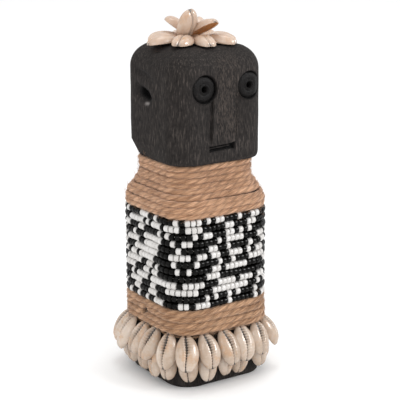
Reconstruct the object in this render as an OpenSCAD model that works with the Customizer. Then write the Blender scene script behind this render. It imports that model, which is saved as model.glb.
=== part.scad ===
// Carved wooden fertility doll: a block figure bound with twine and glass seed beads,
// with a double skirt and a crown of cut cowrie shells.
// Millimetres. The origin is the centre of the foot, +Z is up and the face looks along -Y.

/* [Wooden figure] */
// Width of the square body across its flats
body_w = 61.2; // [58:0.2:64]
// Radius of the body's upright corners
body_corner_r = 14; // [12:0.5:16]
// Width of the neck under its binding
neck_w = 48; // [46:0.5:50]
// Width of the head across its flats
head_w = 61; // [58:0.5:64]
// Height of the head from chin to crown
head_h = 65.2; // [60:0.2:70]
// Radius of the head's rounded edges
head_edge_r = 14; // [12:0.5:16]
// Height of the underside of the chin above the foot
chin_z = 129.8; // [129.8:0.1:132]

/* [Face] */
// Diameter of the turned eye rings
eye_d = 16.4; // [13:0.2:17]
// Distance between the eye centres
eye_spacing = 30; // [26:0.5:32]
// How far the pair of eyes was cut off the middle of the face
eye_shift = 2.7; // [0:0.1:3]
// Diameter of the drilled pupils
pupil_d = 3.5; // [2.5:0.1:4]
// Width of the nose ridge
nose_w = 14.6; // [13:0.5:18]
// Length of the mouth
mouth_w = 17; // [14:0.5:20]

/* [Twine bindings] */
// Thickness of the twine where it lies on the shoulders
shoulder_twine_d = 3.3; // [2.8:0.1:3.3]
// Thickness of the twine round the hips
hip_twine_d = 3.7; // [3:0.1:3.7]
// Strands one above the other in the shoulder binding
shoulder_turns = 9; // [8:1:9]
// Strands one above the other in the hip binding
hip_turns = 4; // [3:1:4]

/* [Beadwork] */
// Diameter of a seed bead
bead_d = 4; // [3.6:0.1:4]
// Length of a seed bead along its thread
bead_len = 2.86; // [2.5:0.02:2.88]
// Diameter of the hole through a seed bead
bead_bore = 1; // [0.8:0.1:1.4]
// Number of strings of beads round the body
bead_rows = 13; // [10:1:13]

/* [Skirt shells] */
// Length of an upper skirt shell
upper_shell_len = 20.8; // [20:0.2:22]
// Width of an upper skirt shell
upper_shell_w = 12.4; // [11:0.2:12.6]
// Lean of the upper shells away from the body, in degrees
upper_lean = 24; // [23:0.5:28]
// Length of a lower skirt shell
lower_shell_len = 20.8; // [19:0.2:21]
// Width of a lower skirt shell
lower_shell_w = 11.6; // [10:0.2:11.6]
// Lean of the lower shells away from the body, in degrees
lower_lean = 6; // [5:0.5:8]

/* [Crown shells] */
// Length of a crown shell
crown_shell_len = 19.8; // [18:0.2:20]
// Width of a crown shell
crown_shell_w = 12; // [11:0.2:12]
// Droop of the flat crown shells over the rounded edge of the head, in degrees
petal_droop = 5; // [0:0.5:6]

/* [Hidden] */
$fn = 48;
HULL_FN = 32;
fit_gap = 0.1;

body_half = body_w / 2;
neck_half = neck_w / 2;
neck_corner_r = body_corner_r * neck_half / body_half;
head_half = head_w / 2;
head_top = chin_z + head_h;
foot_bevel = 1.3;
shoulder_z = 107;
neck_z = 118;
chin_bevel_h = 4;
chin_bevel_w = 2.2;
worn_chin_h = 9;
worn_chin_w = 4.6;

eye_z = chin_z + 42.7;
eye_rim_depth = 1.7;
pupil_depth = 6;
iris_r = 2.9;
cheek_top = eye_z - 6;
cheek_bottom = chin_z + 13;
cheek_depth = 1.3;
mouth_z = chin_z + 9.2;
mouth_h = 3.6;
mouth_depth = 1.6;
ear_y = 5;
ear_z = chin_z + 41;
ear_r = 10;

hip_z = 32.6;
hip_pitch = hip_twine_d + 0.08;
beads_z = hip_z + hip_turns * hip_pitch + 0.1;
bead_pitch = bead_d + 0.08;
shoulder_wrap_z = beads_z + bead_rows * bead_pitch + 0.15;
twine_sides = 8;
twine_corner_steps = 6;
hip_clear = 0.15;
shoulder_clear = 0.45;

bead_ring_half = body_half + 0.15 + bead_d / 2;
bead_ring_r = body_corner_r + 0.15 + bead_d / 2;
beads_per_side = 11;
beads_per_corner = 8;
beads_per_quarter = beads_per_side + beads_per_corner;
beads_per_row = 4 * beads_per_quarter;
bead_edge_r = 0.55;
thread_d = 0.5;
colour_change = 0.42;
black_start = 0.55;

shells_per_quarter = 5;
shell_wall = 1.2;
shell_cut = 1;
upper_tip_z = 32.4;
lower_tip_z = 24.8;
upper_tip_out = 0.1;
lower_tip_out = 0.1;
skirt_phase = 3.8;
// Degrees that the shells of the right side swing towards the back
right_side = 2;
right_splay = [0, -6.5, -8, -7, 0];
upper_glue_r = 0.5;
lower_glue_r = 0.3;
upper_glue_z = 30.9;
lower_glue_z = 21.5;

crown_turn = -149;
// Degrees each petal is glued off its even place, and how far out its inner end lies
petal_shift = [6, 5, 3, 0, 4, 8, 15, 10];
crown_petals = len(petal_shift);
petal_tip_out = [7.2, 5, 6.6, 5.8, 7, 7, 7.6, 9];
// Front, right, rear and left upright: which way it leans, how far, and how it is rolled
upright_turn = [-95, -73, 52, 147];
uprights = len(upright_turn);
upright_lean = [28, 63, 60, 55];
upright_roll = [193, 0, 0, 0];
upright_len = [crown_shell_len, crown_shell_len, 16, 16];
upright_w = [13, crown_shell_w, crown_shell_w, crown_shell_w];
upright_tip = [[-8.2, 0.5, 2.6], [-0.7, -0.8, 2], [3.4, 3.9, 2], [-0.6, 6.4, 2]];
crown_glue_r = 6.6;
crown_glue_h = 1.7;

SIDES = ["left", "back", "right", "front"];

// ---------- outlines and paths ----------

function row_name(k, tint) = str("bead_row_", k < 10 ? "0" : "", k, "_", tint);

// A point on a rounded square: corner c from 0 to 3, a from 0 to 90 degrees round it.
// Corner 0 is back right as the doll looks out, and the corners run counter-clockwise from above.
function corner_point(half, r, c, a) =
    let (mid = 90 * c + 135, dir = 90 * c + 90 + a, reach = (half - r) * sqrt(2))
    [reach * cos(mid) + r * cos(dir), reach * sin(mid) + r * sin(dir)];

// Place u along a rounded square, as [x, y, outward angle]. A corner takes corner_units
// of u and a side takes side_units, and u = 0 is where the front corner at +X, -Y begins.
function ring_place(u, half, r, corner_units, side_units) =
    let (quarter_units = corner_units + side_units,
         wrapped = u - 4 * quarter_units * floor(u / (4 * quarter_units)),
         q = floor(wrapped / quarter_units),
         v = wrapped - q * quarter_units,
         c = half - r,
         a = min(v / corner_units, 1) * 90,
         along = max(v - corner_units, 0) / side_units,
         x = c + r * cos(a) - 2 * c * along,
         y = c + r * sin(a),
         turn = 90 * q - 90)
    [x * cos(turn) - y * sin(turn), x * sin(turn) + y * cos(turn), a + turn];

module rounded_square(half, r) {
    square([2 * half, 2 * (half - r)], center = true);
    square([2 * (half - r), 2 * half], center = true);
    for (x = [-1, 1], y = [-1, 1])
        translate([x * (half - r), y * (half - r)]) circle(r);
}

module rounded_slab(half, r, h, fn = $fn) {
    linear_extrude(h) rounded_square(half, r, $fn = fn);
}

// A closed skin over rings of points, each ring with the same number of points.
module skin(rings) {
    n = len(rings[0]);
    last = len(rings) - 1;
    polyhedron(
        points = [for (ring = rings) for (p = ring) p],
        faces = concat(
            [[for (i = [n - 1 : -1 : 0]) i]],
            [for (k = [0 : last - 1]) for (i = [0 : n - 1]) let (j = (i + 1) % n)
                for (tri = [[k * n + i, (k + 1) * n + j, (k + 1) * n + i],
                            [k * n + i, k * n + j, (k + 1) * n + j]]) tri],
            [[for (i = [0 : n - 1]) last * n + i]]),
        convexity = 10);
}

// ---------- wooden figure ----------

module body_block() {
    hull() {
        rounded_slab(body_half - foot_bevel, body_corner_r - foot_bevel, 0.01, HULL_FN);
        translate([0, 0, foot_bevel]) rounded_slab(body_half, body_corner_r, 0.01, HULL_FN);
    }
    translate([0, 0, foot_bevel]) rounded_slab(body_half, body_corner_r, shoulder_z - foot_bevel);
    hull() {
        translate([0, 0, shoulder_z - 0.01]) rounded_slab(body_half, body_corner_r, 0.01, HULL_FN);
        translate([0, 0, neck_z]) rounded_slab(neck_half, neck_corner_r, 0.01, HULL_FN);
    }
    translate([0, 0, neck_z - 0.5])
        rounded_slab(neck_half, neck_corner_r, chin_z - neck_z + 1);
}

// The head, with one chin corner at the back worn more than the others.
module head_block() {
    reach = head_half - head_edge_r;
    hull() {
        for (x = [-reach, reach], y = [-reach, reach]) {
            worn = x < 0 && y > 0;
            translate([x, y, 0]) {
                translate([0, 0, head_top - head_edge_r]) sphere(head_edge_r, $fn = HULL_FN);
                translate([0, 0, chin_z + (worn ? worn_chin_h : chin_bevel_h)])
                    cylinder(r = head_edge_r, h = 1, $fn = HULL_FN);
                translate([0, 0, chin_z])
                    cylinder(r = head_edge_r - (worn ? worn_chin_w : chin_bevel_w), h = 1,
                             $fn = HULL_FN);
            }
        }
    }
}

// The turned ring round an eye, as the wood that is cut away, and the drilled pupil.
module eye_cut() {
    rim_r = eye_d / 2;
    rotate_extrude()
        polygon([[0, -1], [rim_r, -1], [rim_r, 0.4], [rim_r - 0.9, eye_rim_depth],
                 [rim_r - 2, 1.1], [iris_r + 1, 0.5], [iris_r + 0.3, 1.1],
                 [iris_r, 0.7], [pupil_d / 2 + 0.3, 0.7], [0, 0.9]]);
    cylinder(d = pupil_d, h = pupil_depth);
}

// One cheek is pared back beside the nose, deepest at the nose and running out to nothing.
module cheek_cut() {
    cheek_w = head_half - nose_w / 2;
    translate([nose_w / 2, -head_half - 5, cheek_bottom])
        linear_extrude(cheek_top - cheek_bottom)
            polygon([[0, 0], [cheek_w, 0], [cheek_w, 5], [0, 5 + cheek_depth]]);
}

module mouth_cut() {
    lip_h = 0.9;
    translate([-mouth_w / 2, -head_half - 1, mouth_z - mouth_h / 2])
        difference() {
            cube([mouth_w, mouth_depth + 1, mouth_h]);
            translate([1.5, 1.7, (mouth_h - lip_h) / 2]) cube([mouth_w - 4, 2, lip_h]);
        }
}

// An ear is an arched groove over a scooped hollow.
module ear_cut() {
    groove_w = 1.6;
    groove_depth = 1.1;
    scoop_r = 4;
    scoop_len = 13;
    translate([-head_half - 1, ear_y, ear_z]) rotate([0, 90, 0])
        linear_extrude(1 + groove_depth)
            difference() {
                circle(ear_r);
                circle(ear_r - groove_w);
                translate([-ear_r * 0.35, -2 * ear_r]) square(4 * ear_r);
            }
    translate([-head_half - scoop_r + 2.4, ear_y + scoop_len / 2, ear_z - 2.8])
        rotate([105, 0, 0]) cylinder(r = scoop_r, h = scoop_len);
}

module carved_figure() {
    color([0.14, 0.13, 0.125])
        difference() {
            union() {
                body_block();
                head_block();
            }
            for (x = [-1, 1])
                translate([eye_shift + x * eye_spacing / 2, -head_half, eye_z])
                    rotate([-90, 0, 0]) eye_cut();
            for (flip = [0, 1]) mirror([flip, 0, 0]) {
                cheek_cut();
                ear_cut();
            }
            mouth_cut();
        }
}

// ---------- twine ----------

// One ring of twine section at a corner, flat sides towards the wood and the next strand.
function twine_ring(half, r, z, c, a, d) =
    let (p = corner_point(half, r, c, a), out = 90 * c + 90 + a,
         reach = d / 2 / cos(180 / twine_sides))
    [for (i = [0 : twine_sides - 1])
        let (t = 360 * (i + 0.5) / twine_sides, side = reach * cos(t))
        [p[0] + side * cos(out), p[1] + side * sin(out), z + reach * sin(t)]];

// Twine wound level by level. levels lists [half width, corner radius, z] of each strand's
// centreline, and the twine climbs to the next level along the back.
module wound_twine(levels, d) {
    skin([for (level = levels) for (c = [0 : 3]) for (k = [0 : twine_corner_steps])
            twine_ring(level[0], level[1], level[2], c, 90 * k / twine_corner_steps, d)]);
}

function hip_levels() =
    let (off = hip_twine_d / 2 + hip_clear)
    [for (k = [0 : hip_turns - 1])
        [body_half + off, body_corner_r + off, hip_z + hip_twine_d / 2 + k * hip_pitch]];

// A place at distance s up the shoulder's profile, offset by half the twine, as [half, z].
function shoulder_profile(s) =
    let (off = shoulder_twine_d / 2 + shoulder_clear,
         drop = body_half - neck_half,
         rise = neck_z - shoulder_z,
         lift = off * tan(atan2(drop, rise) / 2),
         straight = shoulder_z + lift - (shoulder_wrap_z + shoulder_twine_d / 2),
         slope = norm([drop, rise]),
         share = min(max((s - straight) / slope, 0), 1),
         below = min(s, straight),
         above = max(s - straight - slope, 0))
    [body_half + off - share * drop,
     shoulder_wrap_z + shoulder_twine_d / 2 + below + share * rise + above];

function shoulder_levels() =
    let (off = shoulder_twine_d / 2 + shoulder_clear, pitch = shoulder_twine_d + 0.07)
    [for (k = [0 : shoulder_turns - 1])
        let (p = shoulder_profile(k * pitch), wood = p[0] - off)
        [p[0], body_corner_r * wood / body_half + off, p[1]]];

module hip_twine() {
    color([0.68, 0.50, 0.36]) wound_twine(hip_levels(), hip_twine_d);
}

module shoulder_twine() {
    color([0.72, 0.54, 0.40]) wound_twine(shoulder_levels(), shoulder_twine_d);
}

// ---------- beadwork ----------

// A bead along Z with rounded shoulders.
module bead() {
    half = bead_len / 2;
    core = bead_d / 2 - bead_edge_r;
    rotate_extrude()
        difference() {
            union() {
                translate([0, -half]) square([core, bead_len]);
                translate([0, bead_edge_r - half])
                    square([bead_d / 2, bead_len - 2 * bead_edge_r]);
                for (y = [-1, 1])
                    translate([core, y * (half - bead_edge_r)]) circle(bead_edge_r);
            }
            translate([-1, -bead_len]) square([1 + bead_bore / 2, 2 * bead_len]);
        }
}

// The colours round one row, 1 for black and 0 for white, in short random runs.
function row_colours(k) =
    let (draw = rands(0, 1, beads_per_row, 40 + k))
    [for (i = 0, c = draw[0] < black_start ? 1 : 0;
          i < beads_per_row;
          i = i + 1, c = i < beads_per_row && draw[i] < colour_change ? 1 - c : c) c];

function row_z(k) = beads_z + bead_pitch * (k - 0.5);

module bead_row(k, black) {
    tints = row_colours(k);
    start = rands(0, 1, 1, 90 + k)[0];
    color(black == 1 ? [0.03, 0.03, 0.035] : [0.93, 0.91, 0.88])
        for (i = [0 : beads_per_row - 1])
            if (tints[i] == black) {
                p = ring_place(i + start, bead_ring_half, bead_ring_r,
                               beads_per_corner, beads_per_side);
                translate([p[0], p[1], row_z(k)])
                    rotate([0, 0, p[2] + 90]) rotate([0, 90, 0]) bead();
            }
}

// A closed loop of round cord, of thickness d, along a rounded square.
module cord_loop(half, r, d) {
    side = 2 * (half - r);
    for (q = [0 : 3]) rotate([0, 0, 90 * q]) {
        translate([half - r, half - r, 0]) rotate_extrude(angle = 90) translate([r, 0]) circle(d = d);
        translate([half, half - r, 0]) rotate([90, 0, 0]) cylinder(d = d, h = side);
    }
}

module bead_threads() {
    color([0.85, 0.83, 0.78])
        for (k = [1 : bead_rows])
            translate([0, 0, row_z(k)]) cord_loop(bead_ring_half, bead_ring_r, thread_d);
}

// ---------- cowrie shells ----------

// The outside of a shell as a body of revolution, narrow end at the origin, along +Z.
module egg(length, width) {
    steps = 12;
    rotate_extrude()
        polygon([for (i = [0 : steps]) let (t = i / steps)
                    [width / 2 * pow(max(sin(180 * pow(t, 1.23)), 0), 0.54), length * t]]);
}

// A cowrie with its back ground off at cut in front of its middle, so that it is an open bowl,
// and with the slit along its front. Its front faces +X.
module cowrie(length, width, cut) {
    slit_start = length * 0.1;
    slit_end = length * 0.9;
    difference() {
        egg(length, width);
        translate([0, 0, shell_wall]) egg(length - 2 * shell_wall, width - 2 * shell_wall);
        translate([cut - width, -width, -1]) cube([width, 2 * width, length + 2]);
        translate([width * 0.2, 0, 0]) rotate([90, 0, 90])
            linear_extrude(width)
                polygon([[-0.9, slit_start], [0.9, slit_start],
                         [0.35, slit_end], [-0.35, slit_end]]);
    }
}

// One skirt shell hanging narrow end up, number i of the row, swung sideways by splay degrees.
module skirt_shell(i, length, width, tip_z, tip_out, lean, splay = 0) {
    mid_out = tip_out + length * 0.55 * sin(lean);
    half = body_half + mid_out;
    r = body_corner_r + mid_out;
    corner = r * PI / 2;
    side = 2 * (half - r);
    pitch = (corner + side) / shells_per_quarter;
    p = ring_place(corner / 2 + skirt_phase + i * pitch, half, r, corner, side);
    inward = mid_out - tip_out;
    translate([p[0] - inward * cos(p[2]), p[1] - inward * sin(p[2]), tip_z])
        rotate([0, 0, p[2]]) rotate([splay, 0, 0]) rotate([0, 180 - lean, 0]) rotate([0, 0, 180])
            cowrie(length, width, shell_cut);
}

module skirt_side(side, upper) {
    color([0.86, 0.76, 0.66])
        for (k = [0 : shells_per_quarter - 1]) {
            i = side * shells_per_quarter + k;
            if (upper)
                skirt_shell(i, upper_shell_len, upper_shell_w, upper_tip_z, upper_tip_out, upper_lean,
                            side == right_side ? right_splay[k] : 0);
            else
                skirt_shell(i, lower_shell_len, lower_shell_w, lower_tip_z, lower_tip_out, lower_lean);
        }
}

// The line of glue that beds a row of shells against the wood.
module skirt_glue(z, r) {
    color([0.55, 0.42, 0.30])
        translate([0, 0, z]) cord_loop(body_half + r + 0.02, body_corner_r + r + 0.02, 2 * r);
}

// A flat shell slopes down outwards and rests on the head where its cut face is tangent to the
// rounded edge, so the slope decides how high its inner end is.
module crown_petal(k) {
    turn = crown_turn + (k - 1) * 360 / crown_petals + petal_shift[k - 1];
    tip_out = petal_tip_out[k - 1];
    flat = (head_half - head_edge_r) * (abs(cos(turn)) + abs(sin(turn)));
    rise = (flat - tip_out) * tan(petal_droop) + head_edge_r * (1 / cos(petal_droop) - 1);
    color([0.89, 0.78, 0.68])
        rotate([0, 0, turn]) translate([tip_out, 0, head_top + rise + fit_gap])
            rotate([0, 90 + petal_droop, 0]) rotate([0, 0, 180]) translate([-shell_cut, 0, 0])
                cowrie(crown_shell_len, crown_shell_w, shell_cut);
}

module crown_upright(k) {
    color([0.90, 0.80, 0.70])
        translate([upright_tip[k - 1][0], upright_tip[k - 1][1], head_top + upright_tip[k - 1][2]])
            rotate([0, 0, upright_turn[k - 1]]) rotate([0, upright_lean[k - 1], 0])
                rotate([0, 0, 180 + upright_roll[k - 1]])
                    cowrie(upright_len[k - 1], upright_w[k - 1], shell_cut);
}

module crown_glue() {
    color([0.80, 0.70, 0.55])
        translate([0, 0, head_top])
            cylinder(r1 = crown_glue_r, r2 = crown_glue_r - 3.4, h = crown_glue_h);
}

// ---------- nodes ----------

carved_figure();
shoulder_twine();
hip_twine();
bead_threads();
for (k = [1 : bead_rows]) {
    bead_row(k, 1);
    bead_row(k, 0);
}
for (s = [0 : len(SIDES) - 1]) {
    skirt_side(s, true);
    skirt_side(s, false);
}
skirt_glue(upper_glue_z, upper_glue_r);  // upper_skirt_glue
skirt_glue(lower_glue_z, lower_glue_r);  // lower_skirt_glue
for (k = [1 : crown_petals])
    crown_petal(k);
for (k = [1 : uprights])
    crown_upright(k);
crown_glue();
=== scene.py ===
# %% [markdown]
# # A block doll bound in twine, beads and cowries
# The real doll is one carved block of wood. Twine is wound round its neck and hips, strings of
# glass beads fill the waist, and cut cowrie shells make a skirt and a crown. The CAD frame already
# holds where every piece lies and how big it is, so each lesson below asks the frame for a piece's
# place and then makes it as it looks in the hand. All mesh work is in millimetres.

# %% Open the frame
import itertools
import math
import bpy
import numpy as np
from mathutils import Matrix, Vector


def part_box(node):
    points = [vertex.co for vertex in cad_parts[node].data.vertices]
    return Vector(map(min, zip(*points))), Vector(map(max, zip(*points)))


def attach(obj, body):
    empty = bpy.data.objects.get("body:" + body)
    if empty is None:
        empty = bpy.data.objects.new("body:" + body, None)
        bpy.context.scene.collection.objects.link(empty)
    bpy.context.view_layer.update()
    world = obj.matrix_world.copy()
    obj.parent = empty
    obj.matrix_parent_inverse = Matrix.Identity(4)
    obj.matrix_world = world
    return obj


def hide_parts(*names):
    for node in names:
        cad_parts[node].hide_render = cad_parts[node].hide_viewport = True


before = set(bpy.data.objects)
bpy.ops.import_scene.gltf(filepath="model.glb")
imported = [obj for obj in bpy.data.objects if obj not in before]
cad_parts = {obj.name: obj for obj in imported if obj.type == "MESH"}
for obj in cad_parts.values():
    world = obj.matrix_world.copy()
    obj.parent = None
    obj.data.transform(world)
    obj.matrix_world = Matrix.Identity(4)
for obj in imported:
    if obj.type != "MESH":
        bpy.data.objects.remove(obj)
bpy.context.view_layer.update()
MM = 0.001
BODY = "root"

# %% [markdown]
# ## The studio
# A pale floor and broad soft lights let a dark object read clearly. The floor and the world are both
# nearly white, so the doll stands in light from all round. A softbox to the right is seen only in
# reflections and gives the glossy shells and beads their highlights. A long lens from a little above
# is how small carvings are usually shown: it keeps the block's sides close to parallel.

# %% Camera
CAMERA_TURN = math.radians(-33.14)
CAMERA_AWAY = 0.7104
CAMERA_UP = 0.2844
CAMERA_TILT = math.radians(-14.38)
CAMERA_PAN = math.radians(-0.25)
CAMERA_ROLL = math.radians(-0.30)
LENS_MM = 112.9

camera = bpy.data.objects.new("camera", bpy.data.cameras.new("camera"))
bpy.context.scene.collection.objects.link(camera)
camera.data.lens = LENS_MM
camera.data.sensor_width = 36
camera.data.clip_start = 0.01
camera.location = (math.sin(CAMERA_TURN) * CAMERA_AWAY, -math.cos(CAMERA_TURN) * CAMERA_AWAY, CAMERA_UP)
camera.matrix_world = (
    Matrix.Translation(camera.location)
    @ Matrix.Rotation(CAMERA_TURN + CAMERA_PAN, 4, "Z")
    @ Matrix.Rotation(math.pi / 2 + CAMERA_TILT, 4, "X")
    @ Matrix.Rotation(CAMERA_ROLL, 4, "Z"))
bpy.context.scene.camera = camera
print("camera at", [round(v, 3) for v in camera.matrix_world.translation])

# %% Floor, world and lights
def set_socket(node, name, value):
    node.inputs[name].default_value = value


def plain_material(name, colour, roughness):
    material = bpy.data.materials.new(name)
    material.use_nodes = True
    shader = material.node_tree.nodes["Principled BSDF"]
    set_socket(shader, "Base Color", (*colour, 1))
    set_socket(shader, "Roughness", roughness)
    return material


def soft_light(name, place, size, watts, aim=(0, 0, 0.1)):
    lamp = bpy.data.objects.new(name, bpy.data.lights.new(name, "AREA"))
    lamp.data.size = size
    lamp.data.energy = watts
    lamp.location = place
    lamp.rotation_euler = (Vector(aim) - Vector(place)).to_track_quat("-Z", "Y").to_euler()
    bpy.context.scene.collection.objects.link(lamp)
    return lamp


FLOOR_REACH = 4
floor_mesh = bpy.data.meshes.new("floor")
floor_mesh.from_pydata([(x, y, 0) for x, y in
                        ((-FLOOR_REACH, -FLOOR_REACH), (FLOOR_REACH, -FLOOR_REACH),
                         (FLOOR_REACH, FLOOR_REACH), (-FLOOR_REACH, FLOOR_REACH))], [], [(0, 1, 2, 3)])
floor = bpy.data.objects.new("floor", floor_mesh)
floor_mesh.materials.append(plain_material("pale floor", (0.93, 0.93, 0.93), 0.9))
bpy.context.scene.collection.objects.link(floor)

world = bpy.data.worlds.new("studio")
world.use_nodes = True
set_socket(world.node_tree.nodes["Background"], "Color", (1, 1, 1, 1))
set_socket(world.node_tree.nodes["Background"], "Strength", 1.06)
bpy.context.scene.world = world
bpy.context.scene.view_settings.view_transform = "Standard"

soft_light("window", (0.55, -0.95, 0.75), 0.22, 3.6)
soft_light("side window", (-0.95, -0.35, 0.6), 0.3, 1.4)
soft_light("skylight", (0.1, 0.1, 1.2), 0.4, 2.2)
softbox = soft_light("softbox", (0.75, -0.85, 0.7), 0.45, 18)
softbox.visible_diffuse = False

# %% [markdown]
# ## Reading the frame
# A CAD node may hold many separate solids, such as the forty black beads of one string. A solid is a
# set of corners joined by edges, so spreading the lowest label along the edges until nothing changes
# finds them all. The corners also tell which way a shell lies: the two that are furthest apart are
# its ends. A bead is thinnest along its thread, which is laid round the doll's plan.

# %% Find the solids of a node
def solids_of(node):
    """The separate solids of a CAD node, each as an array of its corners in mm."""
    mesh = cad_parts[node].data
    corners = np.empty(3 * len(mesh.vertices))
    mesh.vertices.foreach_get("co", corners)
    spots, spot_of = np.unique(np.round(corners.reshape(-1, 3), 6), axis=0, return_inverse=True)
    edges = np.empty(2 * len(mesh.edges), int)
    mesh.edges.foreach_get("vertices", edges)
    first, second = spot_of.ravel()[edges].reshape(-1, 2).T
    label = np.arange(len(spots))
    while True:
        low = np.minimum(label[first], label[second])
        spread = label.copy()
        np.minimum.at(spread, first, low)
        np.minimum.at(spread, second, low)
        spread = spread[spread]
        if (spread == label).all():
            break
        label = spread
    return [spots[label == k] / MM for k in np.unique(label)]


def unit(vector):
    return vector / np.linalg.norm(vector)


print("first bead string:", len(solids_of("bead_row_01_black")), "black beads")

# %% [markdown]
# ## Making meshes
# Every piece is a grid of points bent into shape: rows along it and columns round it. One helper
# turns such grids into faces, and another makes the Blender object, smooths it and stores the
# marks that its material reads, such as where a shell's slit is.

# %% Grid and object helpers
def grid_faces(rows, columns, start=0, wrap=True):
    """Four-sided faces between neighbouring rows of points, and round to the first column."""
    row, column = np.meshgrid(np.arange(rows - 1), np.arange(columns if wrap else columns - 1),
                              indexing="ij")
    after = (column + 1) % columns
    corners = [row * columns + column, row * columns + after,
               (row + 1) * columns + after, (row + 1) * columns + column]
    return np.stack(corners, axis=-1).reshape(-1, 4) + start


def make_piece(name, points, faces, material, marks=None):
    """A smooth mesh object from points in mm. marks are named values or vectors, one per point."""
    mesh = bpy.data.meshes.new(name)
    mesh.from_pydata((np.asarray(points) * MM).tolist(), [], [list(face) for face in faces])
    mesh.polygons.foreach_set("use_smooth", [True] * len(mesh.polygons))
    for mark, values in (marks or {}).items():
        values = np.asarray(values, np.float32)
        kind = "FLOAT" if values.ndim == 1 else "FLOAT_VECTOR"
        store = mesh.attributes.new(mark, kind, "POINT")
        store.data.foreach_set("value" if values.ndim == 1 else "vector", values.ravel())
    mesh.materials.append(material)
    piece = bpy.data.objects.new(name, mesh)
    bpy.context.scene.collection.objects.link(piece)
    return piece


def piece_box(piece):
    corners = np.array([v for v in piece.bound_box]) / MM
    return [round(float(v), 1) for v in corners.min(0)], [round(float(v), 1) for v in corners.max(0)]


def place_piece(piece, slot, *nodes):
    """The piece rides on the doll and stands for its CAD nodes. The slot is not used."""
    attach(piece, BODY)
    if nodes:
        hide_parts(*nodes)
    low, high = piece_box(piece)
    print(f"{piece.name}: {len(piece.data.polygons)} faces, box {low} to {high} mm")

# %% [markdown]
# ## Hand-made unevenness
# Nothing on the doll is quite straight. A smooth random field, like slow clouds, can push points a
# little in or out: random numbers sit on a coarse lattice and are blended between. The lattice is
# seeded, so the doll comes out the same each time.

# %% Clouds
LATTICE = 24


def clouds(points, size, seed):
    """Smooth random values from -1 to 1 at points, in lumps about size across."""
    lattice = np.random.default_rng(seed).uniform(-1, 1, (LATTICE, LATTICE, LATTICE))
    scaled = np.asarray(points, float) / size
    cell = np.floor(scaled).astype(int)
    part = scaled - cell
    part = part * part * (3 - 2 * part)
    total = np.zeros(len(scaled))
    for corner in itertools.product((0, 1), repeat=3):
        share = np.prod(np.where(corner, part, 1 - part), axis=1)
        total += share * lattice[tuple(((cell + corner) % LATTICE).T)]
    return total


def ramp(value, low, high):
    """0 below low, 1 above high and a smooth rise between."""
    share = np.clip((value - low) / (high - low), 0, 1)
    return share * share * (3 - 2 * share)


print("cloud values:", clouds([[0, 0, 0], [5, 5, 5]], 4, 1).round(2))

# %% [markdown]
# ## The doll's plan
# From above the doll is a square with round corners at every height, so the same path serves the
# wood, the twine and the beads. It is counted in quarter turns: each quarter is first a corner and
# then a straight side. Quarter 0 is the front corner at +X with the +X side, and quarter 3 ends with
# the front.

# %% A path round the square
CORNER_SHARE = 0.4


def square_path(half, corner, turn):
    """Points on a rounded square at turn, and the direction that faces outwards there."""
    quarter = np.floor(turn)
    within = turn - quarter
    arc = np.minimum(within / CORNER_SHARE, 1) * math.pi / 2
    along = np.maximum(within - CORNER_SHARE, 0) / (1 - CORNER_SHARE)
    straight = half - corner
    x = straight + corner * np.cos(arc) - 2 * straight * along
    y = straight + corner * np.sin(arc)
    spin = (quarter - 1) * math.pi / 2
    return (x * np.cos(spin) - y * np.sin(spin), x * np.sin(spin) + y * np.cos(spin), arc + spin)


figure_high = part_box("carved_figure")[1]
BODY_HALF = figure_high.x / MM
HEAD_TOP = figure_high.z / MM
HEAD_HALF = BODY_HALF - 0.1
CHIN = HEAD_TOP - 65.2
CORNER_R = 14
NECK_HALF = 24
SHOULDER = 107
NECK = 118
print("head top", round(HEAD_TOP, 1), "body half width", round(BODY_HALF, 1))

# %% [markdown]
# ## Shader building blocks
# Three effects come back in several finishes, so each is a node group with named sockets. *Mottle*
# mixes slow and fine clouds for uneven colour. *Fine lines* stretches noise along one direction, for
# wood grain, twine fibres or growth lines on a shell. *Wear* picks out thin, broken scratches. Groups
# put out masks and heights only, and the shader itself stays in each material.

# %% Node group helpers
def new_group(name, inputs, outputs):
    group = bpy.data.node_groups.new(name, "ShaderNodeTree")
    for label, kind, value in inputs:
        socket = group.interface.new_socket(label, in_out="INPUT", socket_type="NodeSocket" + kind)
        socket.default_value = value
    for label in outputs:
        group.interface.new_socket(label, in_out="OUTPUT", socket_type="NodeSocketFloat")
    return group, group.nodes.new("NodeGroupInput"), group.nodes.new("NodeGroupOutput")


def add(tree, kind, **settings):
    """A node of that kind. Settings name its properties, or its inputs when they start with i_."""
    node = tree.nodes.new("ShaderNode" + kind)
    for key, value in settings.items():
        if key.startswith("i_"):
            name = key[2:].replace("_", " ")
            node.inputs[int(name) if name.isdigit() else name].default_value = value
        else:
            setattr(node, key, value)
    return node


def link(tree, source, target):
    tree.links.new(source, target)


def maths(tree, operation, a, b=None, clamp=False):
    """A Math node whose inputs may be sockets or numbers."""
    node = add(tree, "Math", operation=operation, use_clamp=clamp)
    for socket, value in zip(node.inputs, (a, b)):
        if isinstance(value, bpy.types.NodeSocket):
            link(tree, value, socket)
        elif value is not None:
            socket.default_value = value
    return node.outputs[0]


def times(tree, a, b, clamp=False):
    return maths(tree, "MULTIPLY", a, b, clamp)


def plus(tree, a, b, clamp=False):
    return maths(tree, "ADD", a, b, clamp)

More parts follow.
